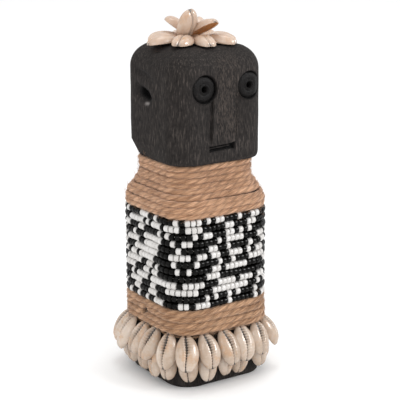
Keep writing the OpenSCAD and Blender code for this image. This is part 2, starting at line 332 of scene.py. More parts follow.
# %% Mottle, fine lines and wear
def build_mottle():
    group, given, out = new_group("Mottle", [("Vector", "Vector", (0, 0, 0)), ("Scale", "Float", 10.0),
                                             ("Contrast", "Float", 1.0)], ["Value"])
    slow = add(group, "TexNoise", i_Detail=3.0, i_Roughness=0.5)
    fine = add(group, "TexNoise", i_Detail=5.0, i_Roughness=0.65)
    for noise, finer in ((slow, 1.0), (fine, 4.3)):
        link(group, given.outputs["Vector"], noise.inputs["Vector"])
        link(group, times(group, given.outputs["Scale"], finer), noise.inputs["Scale"])
    both = plus(group, times(group, slow.outputs["Fac"], 0.6),
                 times(group, fine.outputs["Fac"], 0.4))
    spread = times(group, maths(group, "SUBTRACT", both, 0.5), given.outputs["Contrast"])
    link(group, plus(group, spread, 0.5, clamp=True), out.inputs["Value"])
    return group


def build_fine_lines():
    group, given, out = new_group(
        "Fine lines", [("Vector", "Vector", (0, 0, 0)), ("Stretch", "Vector", (1, 1, 0.05)),
                       ("Scale", "Float", 100.0), ("Contrast", "Float", 3.0)], ["Value"])
    stretched = add(group, "VectorMath", operation="MULTIPLY")
    link(group, given.outputs["Vector"], stretched.inputs[0])
    link(group, given.outputs["Stretch"], stretched.inputs[1])
    lines = add(group, "TexNoise", i_Detail=4.0, i_Roughness=0.6)
    link(group, stretched.outputs[0], lines.inputs["Vector"])
    link(group, given.outputs["Scale"], lines.inputs["Scale"])
    spread = times(group, maths(group, "SUBTRACT", lines.outputs["Fac"], 0.5),
                   given.outputs["Contrast"])
    link(group, plus(group, spread, 0.5, clamp=True), out.inputs["Value"])
    return group


def build_wear():
    group, given, out = new_group(
        "Wear", [("Lines", "Float", 0.5), ("Patches", "Float", 0.5), ("Amount", "Float", 0.3)], ["Value"])
    threshold = maths(group, "SUBTRACT", 1.0, given.outputs["Amount"])
    lines = maths(group, "SUBTRACT", given.outputs["Lines"], threshold)
    lines = times(group, lines, 4.0, clamp=True)
    link(group, times(group, lines, given.outputs["Patches"]), out.inputs["Value"])
    return group


MOTTLE, FINE_LINES, WEAR = build_mottle(), build_fine_lines(), build_wear()
print("groups:", [group.name for group in bpy.data.node_groups])

# %% Material helpers
def new_material(name):
    material = bpy.data.materials.new(name)
    material.use_nodes = True
    return material, material.node_tree, material.node_tree.nodes["Principled BSDF"]


def use_group(tree, group, **values):
    node = tree.nodes.new("ShaderNodeGroup")
    node.node_tree = group
    for key, value in values.items():
        if isinstance(value, bpy.types.NodeSocket):
            link(tree, value, node.inputs[key])
        else:
            node.inputs[key].default_value = value
    return node.outputs["Value"]


def mark(tree, name, vector=False):
    node = add(tree, "Attribute", attribute_name=name)
    return node.outputs["Vector" if vector else "Fac"]


def blend_colours(tree, share, first, second, kind="MIX"):
    """Mixes two colours, each a socket or three numbers, by share."""
    node = add(tree, "Mix", data_type="RGBA", blend_type=kind, clamp_factor=True)
    for index, value in ((0, share), (6, first), (7, second)):
        if isinstance(value, bpy.types.NodeSocket):
            link(tree, value, node.inputs[index])
        else:
            node.inputs[index].default_value = value if index == 0 else (*value, 1)
    return node.outputs[2]


def lay_over(tree, colour, mask, strength, tint):
    """A colour with a tint laid over it where the mask is, at most at that strength."""
    return blend_colours(tree, times(tree, mask, strength), colour, tint)


def remap(tree, value, low, high, to_low=0.0, to_high=1.0):
    node = add(tree, "MapRange", i_1=low, i_2=high, i_3=to_low, i_4=to_high)
    link(tree, value, node.inputs[0])
    return node.outputs[0]


def bump(tree, shader, height, distance, strength=1.0):
    node = add(tree, "Bump", i_Strength=strength, i_Distance=distance)
    link(tree, height, node.inputs["Height"])
    link(tree, node.outputs["Normal"], shader.inputs["Normal"])


def object_place(tree):
    return add(tree, "TexCoord").outputs["Object"]


# %% [markdown]
# ## The carved figure
# The wood was sawn to a square post, rounded over, stained black and left dry. It can be lofted: a
# stack of rounded squares from the foot to the top of the head, close together where there is carving
# and far apart where twine and beads hide it. The chin's corner at the back of the right side has been
# knocked away, so the square is drawn in there. Features are then cut into the grid as a tool would
# cut them: each cut has a floor, and the wood cannot stand above it.

# %% The stack of squares
def figure_outline():
    """Height, half width and corner radius of each row, from the middle of the foot upwards."""
    bevel, chin_bevel, chin_bevel_h = 1.3, 2.2, 4.0
    foot = [(0, h, 0.5 * h) for h in (0.5, 8, 18, 27, BODY_HALF - bevel)]
    for a in np.linspace(15, 90, 6):
        s, c = math.sin(math.radians(a)), math.cos(math.radians(a))
        foot.append((bevel * (1 - c), BODY_HALF - bevel * (1 - s), CORNER_R - bevel * (1 - s)))
    body = [(z, BODY_HALF, CORNER_R) for z in np.arange(2, 38, 2)]
    body += [(z, BODY_HALF, CORNER_R) for z in np.arange(39, SHOULDER, 4)]
    neck = []
    for share in np.linspace(0, 1, 5):
        half = BODY_HALF - share * (BODY_HALF - NECK_HALF)
        neck.append((SHOULDER + share * (NECK - SHOULDER), half, CORNER_R * half / BODY_HALF))
    neck_corner = neck[-1][2]
    neck += [(z, NECK_HALF, neck_corner) for z in (121, 124, 127, CHIN - 0.3)]
    under = [(CHIN + 0.05 * k, NECK_HALF + share * (HEAD_HALF - chin_bevel - NECK_HALF),
              neck_corner + share * (CORNER_R - chin_bevel - neck_corner))
             for k, share in enumerate((0.1, 0.4, 0.7, 0.93))]
    for a in np.linspace(10, 90, 9):
        s, c = math.sin(math.radians(a)), math.cos(math.radians(a))
        under.append((CHIN + 0.2 + chin_bevel_h * (1 - c), HEAD_HALF - chin_bevel * (1 - s),
                      CORNER_R - chin_bevel * (1 - s)))
    edge_r = 13.6
    sides = [(z, HEAD_HALF, CORNER_R) for z in np.arange(CHIN + 4.6, HEAD_TOP - edge_r - 0.8, 0.4)]
    crown = []
    for a in np.linspace(0, 90, 46):
        s, c = math.sin(math.radians(a)), math.cos(math.radians(a))
        crown.append((HEAD_TOP - 0.7 - edge_r * (1 - s), HEAD_HALF - edge_r * (1 - c),
                      CORNER_R - edge_r * (1 - c)))
    flat = HEAD_HALF - edge_r
    top = [(HEAD_TOP - 0.7 * (h / flat) ** 2, h, 0.4 * h / flat) for h in np.linspace(flat * 0.95, 0.3, 18)]
    return np.array(foot + body + neck + under + sides + crown + top)


def figure_turns():
    """Places round the square: closest on the front, where the face is."""
    turns = []
    for quarter, (corner_n, side_n) in enumerate(((46, 54), (24, 30), (30, 54), (46, 96))):
        turns.append(quarter + CORNER_SHARE * np.arange(corner_n) / corner_n)
        turns.append(quarter + CORNER_SHARE + (1 - CORNER_SHARE) * np.arange(side_n) / side_n)
    return np.concatenate(turns)


def grid_normals(points, rows, columns):
    """Outward directions of a closed grid, from the slopes along its rows and columns."""
    grid = points.reshape(rows, columns, 3)
    round_slope = np.roll(grid, -1, axis=1) - np.roll(grid, 1, axis=1)
    up_slope = np.gradient(grid, axis=0)
    normals = np.cross(round_slope, up_slope).reshape(-1, 3)
    return normals / np.maximum(np.linalg.norm(normals, axis=1), 1e-9)[:, None]


outline = figure_outline()
turns = figure_turns()
rows, columns = len(outline), len(turns)
z = np.repeat(outline[:, :1], columns, axis=1)
WORN_CHIN_W = 4.6
WORN_CHIN_H = 9
WORN_TURN = 2.2
from_worn = turns - WORN_TURN
near_worn = np.clip(1 - np.abs(from_worn - 0.2 * np.sign(from_worn)) / 0.6, 0, 1)
near_worn = np.where(np.abs(from_worn) <= 0.2, 1, near_worn)[None, :]
allowed = HEAD_HALF - WORN_CHIN_W * near_worn * np.clip(1 - (z - CHIN) / WORN_CHIN_H, 0, 1)
allowed -= 0.1 * (HEAD_HALF - outline[:, 1:2])
half = np.where(z > CHIN, np.minimum(outline[:, 1:2], allowed), outline[:, 1:2])
corner = outline[:, 2:3] - (outline[:, 1:2] - half)
x, y, outward = square_path(half, np.maximum(corner, 0.05), turns[None, :])
wood = np.stack([x, y, z], axis=-1).reshape(-1, 3)
facing = np.stack([np.cos(outward), np.sin(outward)], axis=-1)
facing = np.broadcast_to(facing, (rows, columns, 2)).reshape(-1, 2)
print("figure grid:", rows, "rows of", columns)

# %% [markdown]
# The knife leaves shallow facets and the dry grain leaves upright furrows, both only ever below the
# block's true size. Then come the cuts. An eye is a turned ring: a groove, a low dome, a small raised
# ring and the drilled pupil. Points that lie close to one of its edges are first drawn onto the edge,
# so that the circles come out clean on a square grid.

# %% Knife facets and grain furrows
def roughen(points):
    normals = grid_normals(points, rows, columns)
    height = points[:, 2]
    shown = ramp(height, CHIN - 1, CHIN + 3)
    facets = 0.35 * (0.5 + 0.5 * clouds(points, 17, 3)) + 0.16 * (0.5 + 0.5 * clouds(points, 6, 4))
    bound = 0.1 * (0.5 + 0.5 * clouds(points, 9, 5))
    upright = points * np.array([1, 1, 0.045])
    furrows = 0.13 * np.maximum(clouds(upright, 0.9, 6), 0) * (0.5 + 0.5 * clouds(points, 8, 7))
    on_side = ramp(height, 0.6, 2.5) * (1 - ramp(height, HEAD_TOP - 2.5, HEAD_TOP - 0.8))
    depth = shown * facets + (1 - shown) * bound + furrows
    return points - normals * (depth * on_side)[:, None]


wood = roughen(wood)

# %% The eyes
EYE_CENTRES = (-12.3, 17.7)
EYE_Z = CHIN + 42.7
EYE_EDGES = (1.8, 2.1, 2.9, 3.4, 6.9, 7.4, 8.2)
EYE_FLOOR = [(0, 5.2), (1.75, 5.0), (1.8, 1.5), (2.1, 0.85), (2.5, 0.7), (2.9, 0.95), (3.15, 1.6),
             (3.4, 1.35), (4.2, 1.05), (5.6, 1.25), (6.9, 1.9), (7.2, 2.6), (7.4, 2.55),
             (8.2, 0.2), (8.6, -3)]
burnish = np.zeros(len(wood))
# Painted shade: how far each point is darkened towards black, in the cuts.
painted_shade = np.zeros(len(wood))
front = facing[:, 1] < -0.25
for eye_x in EYE_CENTRES:
    dx, dz = wood[:, 0] - eye_x, wood[:, 2] - EYE_Z
    radius = np.hypot(dx, dz)
    for edge in EYE_EDGES:
        near = front & (np.abs(radius - edge) < 0.2)
        scale = np.where(near, edge / np.maximum(radius, 0.1), 1)
        wood[:, 0] = eye_x + dx * scale
        wood[:, 2] = EYE_Z + dz * scale
        dx, dz = wood[:, 0] - eye_x, wood[:, 2] - EYE_Z
        radius = np.hypot(dx, dz)
    floor_y = -HEAD_HALF + np.interp(radius, *zip(*EYE_FLOOR))
    cut = front & (radius < 8.5)
    wood[cut, 1] = np.maximum(wood[cut, 1], floor_y[cut])
    burnish[cut] = np.maximum(burnish[cut], 1 - ramp(radius[cut], 7.7, 8.3))
    # Painted shade: the outer groove, the small groove round the ring and the pupil are darkened nearly to
    # black.
    outer_groove = np.exp(-((radius - 7.45) / 0.55) ** 2)
    inner_groove = 0.75 * np.exp(-((radius - 2.4) / 0.35) ** 2)
    pupil = 1 - ramp(radius, 1.5, 1.8)
    stained = np.maximum(np.maximum(outer_groove, inner_groove), pupil)
    painted_shade[cut] = np.maximum(painted_shade[cut], stained[cut])
print("eyes cut into", int((burnish > 0).sum()), "points")

# %% Nose, cheeks and mouth
CHEEK_DEPTH = 2.0
NOSE_LEFT, NOSE_RIGHT = -6.0, 7.9
nose_down = (EYE_Z - wood[:, 2]) / 30
left_edge = NOSE_LEFT - 1.3 * nose_down
from_nose = np.where(wood[:, 0] < 1, left_edge - wood[:, 0], wood[:, 0] - NOSE_RIGHT)
cheek = np.where(from_nose > 0, ramp(from_nose, 0, 0.7) * np.exp(-np.maximum(from_nose, 0) / 6), 0)
cheek *= ramp(wood[:, 2], CHIN + 9, CHIN + 16) * (1 - ramp(wood[:, 2], EYE_Z - 7.5, EYE_Z - 1))
wood[:, 1] += np.where(front & (burnish == 0), CHEEK_DEPTH * cheek, 0)
# Painted shade: a soft dark line along the sides of the nose, where the cheeks are cut back.
beside_nose = 0.3 * np.exp(-((from_nose - 0.5) / 0.6) ** 2) * ramp(wood[:, 2], CHIN + 10, CHIN + 16)
beside_nose *= 1 - ramp(wood[:, 2], EYE_Z, EYE_Z + 12)
painted_shade = np.maximum(painted_shade, np.where(front, beside_nose, 0))

MOUTH_Z, MOUTH_TILT = CHIN + 9.3, 0.05
MOUTH_LEFT, MOUTH_RIGHT = -9.6, 7.4
across = (wood[:, 0] - MOUTH_LEFT) / (MOUTH_RIGHT - MOUTH_LEFT)
from_mouth = wood[:, 2] - MOUTH_Z - MOUTH_TILT * wood[:, 0]
inside = ramp(across, -0.02, 0.02) * (1 - ramp(across, 0.98, 1.02))
opening = 1.5 + 0.5 * ramp(across, 0.8, 1)
slot = inside * (1 - ramp(np.abs(from_mouth), opening - 0.35, opening + 0.2))
lip = (1 - ramp(np.abs(from_mouth - 0.45), 0.2, 0.55)) * (1 - ramp(across, 0.78, 0.86))
mouth_depth = 2.0 * slot * (1 - 0.8 * lip)
wood[:, 1] += np.where(front, mouth_depth, 0)
print("mouth cut", round(float(mouth_depth.max()), 2), "mm deep")

# %% [markdown]
# Each ear is two strokes of a gouge on the side of the head: a shallow one above and a deeper scoop
# below that runs out towards the face, with a chip knocked off under it. A gouge stroke is a trough
# whose depth falls away from its line.

# %% The ears
def gouge(across, up, middle, length, width, tilt):
    """How deep a stroke is, from 0 to 1, at places across and up the side of the head."""
    a = across - middle[0]
    b = up - middle[1] - tilt * a
    return np.exp(-((a / length) ** 4) - (b / width) ** 2)


EAR_Y, EAR_Z = 5.0, CHIN + 41
chipped = np.zeros(len(wood))
for side in (-1, 1):
    beside = side * facing[:, 0] > 0.6
    across, up = wood[:, 1] - EAR_Y, wood[:, 2] - EAR_Z
    upper = gouge(across, up, (1.0, 8.0), 9.5, 2.0, 0.2)
    scoop = gouge(across, up, (0.0, -3.8), 7.6, 3.0, 0.3)
    deep_end = gouge(across, up, (1.0, -3.6), 6.2, 3.2, 0.25)
    chip = gouge(across, up, (-2.4, -8.8), 1.9, 0.8, 0.0)
    depth = 1.4 * upper + 1.6 * scoop + 2.6 * deep_end + 0.5 * chip
    wood[:, 0] -= np.where(beside, side * depth, 0)
    chipped = np.maximum(chipped, np.where(beside & (up < -6), chip, 0))
    smoothed = 0.9 * np.clip(deep_end + 0.7 * scoop + 0.6 * upper, 0, 1)
    burnish = np.maximum(burnish, np.where(beside, smoothed, 0))
    # Painted shade in the deep scoop of the ear.
    painted_shade = np.maximum(painted_shade, np.where(beside, 0.95 * ramp(deep_end, 0.25, 0.8), 0))
burnish = np.maximum(burnish, np.where(front, slot * (1 - lip), 0))
# Painted shade in the mouth slot.
painted_shade = np.maximum(painted_shade, 0.8 * np.where(front, slot * (1 - lip), 0))
on_nose = (1 - ramp(np.abs(wood[:, 0] - 2.5), 5, 10)) * ramp(wood[:, 2], CHIN + 10, CHIN + 18)
rubbed = np.where(front, on_nose * (1 - ramp(wood[:, 2], HEAD_TOP - 8, HEAD_TOP - 2)), 0)

# %% [markdown]
# The finish is a thin black stain on open-grained wood. The stain sinks into the furrows, and the
# ridges between them are rubbed to a dusty grey-brown, most of all on the nose and the cheek beside
# it. So the colour follows fine upright lines, and the roughness stays high except where the tools
# have burnished the eyes and ears. One further mark is painted shade: it darkens the eye grooves, the
# pupils, the mouth slot, the deep ear scoops and a line beside the nose to near black.

# %% Stained wood
def stained_wood():
    material, tree, shader = new_material("stained wood")
    place = object_place(tree)
    pores = use_group(tree, FINE_LINES, Vector=place, Stretch=(1, 1, 0.22), Scale=2100.0, Contrast=2.8)
    grain = use_group(tree, FINE_LINES, Vector=place, Stretch=(1, 1, 0.16), Scale=1250.0, Contrast=2.6)
    patches = use_group(tree, MOTTLE, Vector=place, Scale=55.0, Contrast=2.4)
    fleck = use_group(tree, MOTTLE, Vector=place, Scale=420.0, Contrast=2.4)
    scratches = use_group(tree, WEAR, Lines=grain, Patches=patches, Amount=0.36)
    rubbing = use_group(tree, WEAR, Lines=pores, Patches=mark(tree, "rubbed"), Amount=0.5)
    tone = plus(tree, times(tree, pores, 0.4), times(tree, fleck, 0.25))
    tone = plus(tree, tone, times(tree, grain, 0.35))
    colour = blend_colours(tree, remap(tree, tone, 0.2, 0.8), (0.0045, 0.0038, 0.0037),
                           (0.038, 0.0325, 0.030))
    colour = lay_over(tree, colour, patches, 0.3, (0.027, 0.0225, 0.021))
    colour = lay_over(tree, colour, scratches, 0.42, (0.14, 0.115, 0.10))
    colour = lay_over(tree, colour, rubbing, 0.4, (0.10, 0.078, 0.065))
    colour = blend_colours(tree, mark(tree, "chipped"), colour, (0.25, 0.23, 0.22))
    colour = lay_over(tree, colour, mark(tree, "burnish"), 0.8, (0.0075, 0.0072, 0.0074))
    # Painted shade: the cuts are coloured near black.
    colour = blend_colours(tree, mark(tree, "painted_shade"), colour, (0.001, 0.001, 0.001))
    link(tree, colour, shader.inputs["Base Color"])
    rough = maths(tree, "SUBTRACT", 0.8, times(tree, mark(tree, "burnish"), 0.42))
    link(tree, plus(tree, rough, times(tree, pores, 0.1)), shader.inputs["Roughness"])
    # Less shine where the cuts are painted with shade and where the tools burnished the wood.
    shade_and_polish = maths(tree, "MAXIMUM", mark(tree, "painted_shade"), times(tree, mark(tree, "burnish"), 0.5))
    shine = maths(tree, "SUBTRACT", 0.12, times(tree, shade_and_polish, 0.1))
    link(tree, shine, shader.inputs["Specular IOR Level"])
    bump(tree, shader, plus(tree, pores, grain), 0.00016, 0.8)
    return material


def close_ends(faces, rows, columns):
    """Adds one face across the first row and one across the last."""
    return [list(f) for f in faces] + [list(range(columns))[::-1],
                                       list(range((rows - 1) * columns, rows * columns))]


figure = make_piece("carved_wooden_figure", wood,
                    close_ends(grid_faces(rows, columns), rows, columns), stained_wood(),
                    {"burnish": burnish, "chipped": chipped, "rubbed": rubbed, "painted_shade": painted_shade})
place_piece(figure, "stained_wood", "carved_figure")

# %% [markdown]
# ## Twine
# Jute twine is two hairy yarns twisted together. Laid side by side it shows slanting ridges, one for
# each yarn, and a halo of loose fibres. A tube whose section is a slightly waisted circle, turning as
# it runs, gives the ridges. The mark *fibre* stores each point's place round the strand, turning about
# a third as fast as the yarns, so that the fine lines run nearly along the strand.

# %% Route of a binding
UP = np.array([0, 0, 1.0])
TWINE_LAY = 12.5
TWINE_STEP = 0.8
TWINE_SIDES = 16


def wound_route(levels, turns_wound, seed):
    """Centreline, outward and length of twine wound level by level, climbing along the back."""
    start, end = 1.62, 2 + 4 * (turns_wound - 1) + 3 + CORNER_SHARE + 0.12
    turn = np.linspace(start, end, int((end - start) * 55 / TWINE_STEP))
    wound = (turn - 2) / 4
    level = np.floor(wound)
    climb = (wound - level) * 4 - (3 + CORNER_SHARE)
    level = level + ramp(climb / (1 - CORNER_SHARE), 0.1, 0.9)
    level = np.clip(level, 0, turns_wound - 1)
    half, corner, height = (np.interp(level, np.arange(turns_wound), column) for column in levels.T)
    x, y, outward = square_path(half, corner, turn)
    line = np.stack([x, y, height], axis=-1)
    drift = clouds(np.stack([turn * 3, level * 7, 0 * turn], axis=-1), 2.2, seed)
    line[:, 2] += 0.7 * drift
    swell = 0.28 * clouds(np.stack([turn * 3, level * 5, 9 + 0 * turn], axis=-1), 1.4, seed + 1)
    line[:, 0] += np.cos(outward) * swell
    line[:, 1] += np.sin(outward) * swell
    run = np.concatenate([[0], np.cumsum(np.linalg.norm(np.diff(line, axis=0), axis=1))])
    return line, outward, run


def twine_mesh(line, outward, run, thick, seed):
    """Points and marks of a two-ply twine along a line."""
    around = np.linspace(0, 2 * math.pi, TWINE_SIDES, endpoint=False)[None, :]
    twist = 2 * math.pi * run[:, None] / TWINE_LAY
    own = around - twist
    fat = 1 + 0.09 * clouds(np.stack([run, 0 * run, 0 * run], axis=-1), 5, seed)[:, None]
    yarn = 0.94 + 0.12 * np.abs(np.cos(own)) ** 1.3
    lumps = np.stack([run[:, None] / 2.4 + 0 * own, 1.6 * np.cos(own), 1.6 * np.sin(own)], axis=-1)
    lumps = clouds(lumps.reshape(-1, 3), 1, seed + 5).reshape(own.shape)
    radius = thick / 2 * fat * (yarn + 0.045 * lumps)
    out = np.stack([np.cos(outward), np.sin(outward), 0 * outward], axis=-1)[:, None, :]
    up = UP[None, None, :]
    offset = np.cos(around)[..., None] * out + np.sin(around)[..., None] * up
    points = line[:, None, :] + radius[..., None] * offset * np.array([1, 1, 1.14])
    fibre = around - 0.35 * twist
    strand = np.stack([np.cos(fibre), np.sin(fibre), np.broadcast_to(run[:, None] / 40, own.shape)], axis=-1)
    # groove marks the crease where the two yarns meet; the material darkens it as painted shade.
    groove = 1 - np.clip((yarn - 0.94) / 0.06, 0, 1)
    return points.reshape(-1, 3), strand.reshape(-1, 3), groove.ravel()

# %% [markdown]
# Long loose fibres lie almost flat along the strands, and short ones stand out from them and curl
# back. Each is a very thin three-sided thread, and a few thousand of them soften the outline the way
# real jute does. They belong to the twine, so they are part of the same mesh. On the hips two strands
# have also parted at one place; the twine there is pushed in and painted near black as the gap's shade.

# %% Loose fibres
FIBRE_STEPS = 4


def loose_fibres(line, outward, count, thick, seed, reach, lift):
    """Points and faces of curling fibres that leave the outer half of the twine and rise by lift."""
    random = np.random.default_rng(seed)
    at = random.integers(2, len(line) - 2, count)
    lean = random.uniform(-1.3, 1.3, count)
    out = np.stack([np.cos(outward[at]), np.sin(outward[at]), 0 * at], axis=-1)
    ahead = line[at + 1] - line[at - 1]
    ahead = ahead / np.linalg.norm(ahead, axis=1)[:, None]
    away = np.cos(lean)[:, None] * out + np.sin(lean)[:, None] * UP
    root = line[at] + away * thick * 0.47
    length = random.uniform(*reach, count)[:, None]
    sway = random.choice((-1, 1), count)[:, None] * ahead + 0.5 * random.normal(0, 1, (count, 1)) * UP
    rise = random.uniform(*lift, count)[:, None]
    points = []
    for step in np.linspace(0, 1, FIBRE_STEPS):
        middle = root + length * (sway * step * 0.9 + away * rise * (step - 0.45 * step ** 2))
        thin = 0.055 * (1 - 0.6 * step)
        for k in range(3):
            turn = 2 * math.pi * k / 3
            points.append(middle + thin * (math.cos(turn) * away + math.sin(turn) * np.cross(ahead, away)))
    points = np.stack(points, axis=1).reshape(-1, 3)
    one = grid_faces(FIBRE_STEPS, 3)
    faces = (one[None] + (np.arange(count) * 3 * FIBRE_STEPS)[:, None, None]).reshape(-1, 4)
    return points, faces


def twine_material(name, light, dark, shade):
    material, tree, shader = new_material(name)
    strand = mark(tree, "fibre", vector=True)
    place = object_place(tree)
    fibres = use_group(tree, FINE_LINES, Vector=strand, Stretch=(1, 1, 1.3), Scale=2.3, Contrast=3.2)
    hairs = use_group(tree, FINE_LINES, Vector=strand, Stretch=(1, 1, 0.9), Scale=6.0, Contrast=3.0)
    patches = use_group(tree, MOTTLE, Vector=place, Scale=55.0, Contrast=2.2)
    tone = plus(tree, times(tree, fibres, 0.5), times(tree, hairs, 0.5))
    colour = blend_colours(tree, remap(tree, tone, 0.25, 0.75), dark, light)
    colour = lay_over(tree, colour, patches, 0.35, shade)
    # Painted shade: the crease between the two yarns is darkened.
    colour = lay_over(tree, colour, mark(tree, "groove"), 0.5, (0.17, 0.085, 0.042))
    # Painted shade: where the strands part, the twine is coloured near black.
    colour = blend_colours(tree, mark(tree, "parted"), colour, (0.012, 0.007, 0.004))
    link(tree, colour, shader.inputs["Base Color"])
    link(tree, remap(tree, tone, 0, 1, 0.95, 0.82), shader.inputs["Roughness"])
    set_socket(shader, "Specular IOR Level", 0.15)
    set_socket(shader, "Sheen Weight", 0.25)
    bump(tree, shader, tone, 0.0004, 0.8)
    return material


def make_twine(name, node, levels, thick, fibres, material, seed, hole=None):
    """One binding. A hole is where its strands have parted, on the side that faces -X."""
    line, outward, run = wound_route(levels, len(levels), seed)
    points, strand, groove = twine_mesh(line, outward, run, thick, seed + 2)
    count = len(line)
    faces = close_ends(grid_faces(count, TWINE_SIDES), count, TWINE_SIDES)
    groups = [points]
    for share, reach, lift in ((0.7, (4.0, 9.0), (0.02, 0.07)), (0.3, (1.2, 3.0), (0.15, 0.7))):
        seed += 3
        hair, hair_faces = loose_fibres(line, outward, int(fibres * share), thick, seed, reach, lift)
        faces += (hair_faces + sum(len(group) for group in groups)).tolist()
        groups.append(hair)
        strand = np.concatenate([strand, hair * 0.3])
        groove = np.concatenate([groove, np.zeros(len(hair))])
    points = np.concatenate(groups)
    parted = np.zeros(len(points))
    if hole:
        # Painted shade: this mask also colours the parted gap near black in the material.
        from_hole = points - np.array(hole)
        slant = from_hole[:, 2] + 0.5 * from_hole[:, 1]
        parted = np.exp(-(from_hole[:, 1] / 2.2) ** 4 - (slant / 1.5) ** 4)
        parted *= ramp(-np.abs(from_hole[:, 0]), -8, -5)
        points[:, 0] += 2.4 * parted
    piece = make_piece(name, points, faces, material, {"fibre": strand, "groove": groove, "parted": parted})
    place_piece(piece, node, node)
    print(f"{name}: {run[-1] / 1000:.2f} m of twine")

# %% Hip binding
hip_low, hip_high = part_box("hip_twine")
HIP_TURNS = 4
hip_thick = 3.7
hip_pitch = ((hip_high.z - hip_low.z) / MM - hip_thick) / (HIP_TURNS - 1)
hip_half = hip_high.x / MM - hip_thick / 2
hip_levels = np.array([(hip_half, hip_half - BODY_HALF + CORNER_R,
                        hip_low.z / MM + hip_thick / 2 + k * hip_pitch) for k in range(HIP_TURNS)])
HIP_TWINE = twine_material("hip twine", (0.61, 0.375, 0.225), (0.20, 0.098, 0.046), (0.37, 0.19, 0.095))
make_twine("hip_binding", "hip_twine", hip_levels, hip_thick, 3600, HIP_TWINE, 21,
           hole=(-hip_half, 2, hip_levels[2][2] - 1.6))

# %% Shoulder binding
shoulder_low, shoulder_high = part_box("shoulder_twine")
SHOULDER_TURNS = 9
shoulder_thick = 3.3
shoulder_off = shoulder_high.x / MM - shoulder_thick / 2 - BODY_HALF


def shoulder_level(k):
    """Half width, corner and height of strand k, following the slope of the shoulders."""
    first = shoulder_low.z / MM + shoulder_thick / 2
    climbed = k * (shoulder_thick + 0.07)
    drop, rise = BODY_HALF - NECK_HALF, NECK - SHOULDER
    straight = SHOULDER + shoulder_off * math.tan(math.atan2(drop, rise) / 2) - first
    slope = math.hypot(drop, rise)
    share = min(max((climbed - straight) / slope, 0), 1)
    height = first + min(climbed, straight) + share * rise + max(climbed - straight - slope, 0)
    half = BODY_HALF + shoulder_off - share * drop
    return half, CORNER_R * (half - shoulder_off) / BODY_HALF + shoulder_off, height


shoulder_levels = np.array([shoulder_level(k) for k in range(SHOULDER_TURNS)])
SHOULDER_TWINE = twine_material("shoulder twine", (0.71, 0.43, 0.265), (0.255, 0.127, 0.064),
                                (0.44, 0.225, 0.12))
make_twine("shoulder_binding", "shoulder_twine", shoulder_levels, shoulder_thick, 5400, SHOULDER_TWINE, 31)

# %% [markdown]
# ## Seed beads
# A seed bead is a slice of drawn glass tube, tumbled hot until its edges are round. Each bead here is
# a turned profile, placed on a bead of the frame and then let go a little: real beads differ in
# length, lean on their thread and ride up and down along the row. Black and white glass differ only
# in colour, so one material recipe serves both.

# %% One bead
BEAD_ROUND = 14


def bead_profile():
    """Distance along the thread and radius of a bead of unit length and unit radius."""
    outside = [(-0.44, 0.50), (-0.50, 0.66), (-0.46, 0.84), (-0.36, 0.95), (-0.18, 1.0),
               (0.18, 1.0), (0.36, 0.95), (0.46, 0.84), (0.50, 0.66), (0.44, 0.50)]
    bore = [(0.40, 0.28), (-0.40, 0.28)]
    return np.array(outside + bore)


def bead_mesh(middle, thread, outward, length, radius):
    up = np.cross(outward, thread)
    ring = np.linspace(0, 2 * math.pi, BEAD_ROUND, endpoint=False)
    profile = bead_profile()
    along = profile[:, 0][:, None, None] * length * thread
    spoke = np.cos(ring)[None, :, None] * outward + np.sin(ring)[None, :, None] * up
    return (middle + along + profile[:, 1][:, None, None] * radius * spoke).reshape(-1, 3)


def bead_faces():
    """The profile is a closed loop, so its last row joins its first."""
    count = len(bead_profile())
    faces = grid_faces(count, BEAD_ROUND)
    last = np.array([[(count - 1) * BEAD_ROUND + k, (count - 1) * BEAD_ROUND + (k + 1) % BEAD_ROUND,
                      (k + 1) % BEAD_ROUND, k] for k in range(BEAD_ROUND)])
    return np.concatenate([faces, last])


def outward_at(point):
    """The outward direction of the rounded square at a point beside it."""
    reach = BODY_HALF - CORNER_R
    from_corner = point[:2] - np.clip(point[:2], -reach, reach)
    return unit(np.array([*from_corner, 0]))

# %% Bead glass
def bead_material(name, colour, second, roughness, shine):
    material, tree, shader = new_material(name)
    place = object_place(tree)
    clouded = use_group(tree, MOTTLE, Vector=place, Scale=260.0, Contrast=1.6)
    own = mark(tree, "tint")
    link(tree, blend_colours(tree, plus(tree, times(tree, own, 0.7),
                                         times(tree, clouded, 0.3)), colour, second),
         shader.inputs["Base Color"])
    link(tree, remap(tree, clouded, 0.3, 0.7, roughness * 0.7, roughness * 1.5), shader.inputs["Roughness"])
    set_socket(shader, "Specular IOR Level", shine)
    bump(tree, shader, clouded, 0.00006, 0.4)
    return material


GLASS = {
    "black": bead_material("black bead glass", (0.0010, 0.0009, 0.0008), (0.0035, 0.003, 0.0025), 0.13, 0.1),
    "white": bead_material("white bead glass", (0.67, 0.655, 0.64), (0.56, 0.54, 0.52), 0.24, 0.35)}

